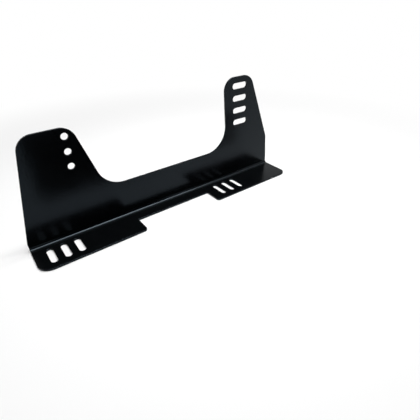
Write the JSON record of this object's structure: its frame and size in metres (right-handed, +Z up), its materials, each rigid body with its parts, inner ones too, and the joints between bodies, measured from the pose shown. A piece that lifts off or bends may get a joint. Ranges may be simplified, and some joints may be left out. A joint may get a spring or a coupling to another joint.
{
  "type": "seat side mount",
  "caption": "Folded steel side bracket for a vehicle seat: slotted foot flange, low middle strip, and two towers with bolt holes and adjustment slots.",
  "frame": {"origin": "middle of the footprint, on the underside of the flange", "axes": "+X from the front end to the rear end, +Y from the flange's free edge to the plate's outer face, +Z up"},
  "size_m": [0.4442, 0.0596, 0.1748],
  "materials": {
    "powder_coat": "satin black powder coat over laser-cut steel"
  },
  "bodies": {
    "root": {"side_mount": "powder_coat"}
  },
  "joints": []
}
